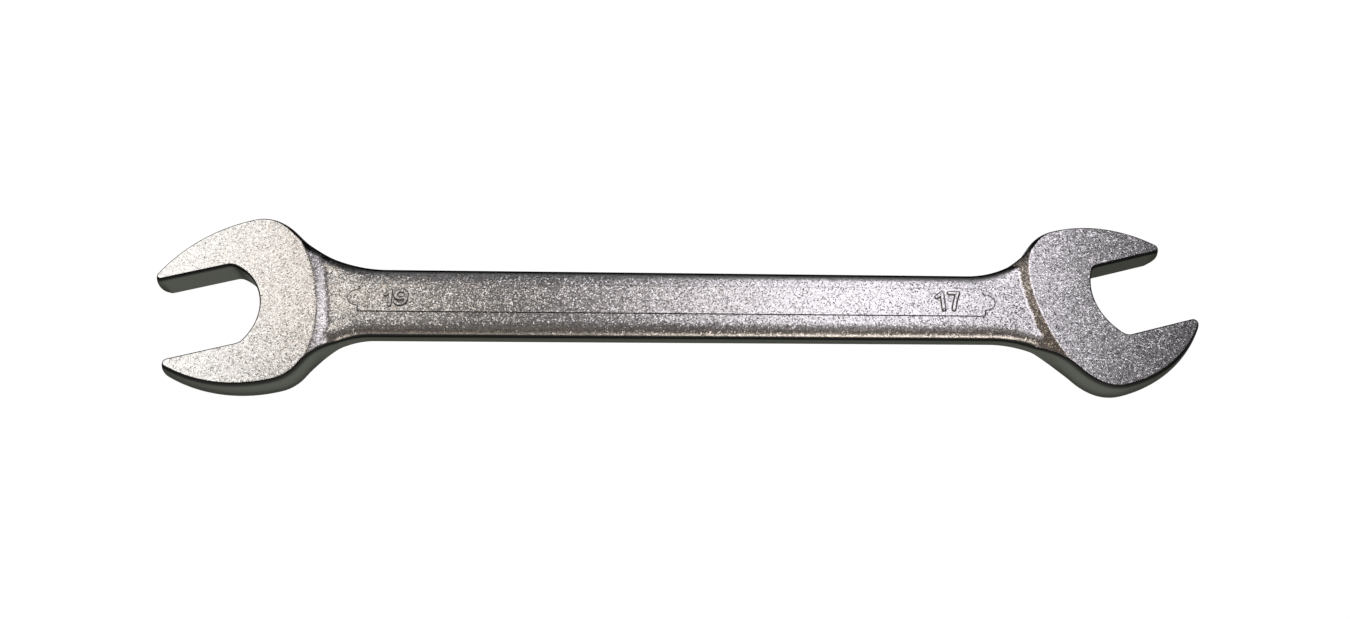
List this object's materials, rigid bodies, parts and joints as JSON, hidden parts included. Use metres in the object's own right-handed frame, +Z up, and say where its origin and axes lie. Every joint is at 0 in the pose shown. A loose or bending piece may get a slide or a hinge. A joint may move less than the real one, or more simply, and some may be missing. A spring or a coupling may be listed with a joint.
{
  "type": "open end wrench",
  "caption": "Flat double open end wrench drop forged in one piece, with jaws angled to the shank at each end and a satin chrome plated finish.",
  "frame": {"origin": "centre of the tool's outline in plan, on the flat surface that both heads lie on", "axes": "+X along the shank from the 19 mm head to the 17 mm head, +Z up through the tool's thickness, +Y across the shank to the side of the 17 mm head's upper jaw"},
  "size_m": [0.2234, 0.0408, 0.0068],
  "materials": {
    "satin_chrome": "satin"
  },
  "bodies": {
    "root": {"head_19": "satin_chrome", "shank": "satin_chrome", "head_17": "satin_chrome"}
  },
  "joints": []
}
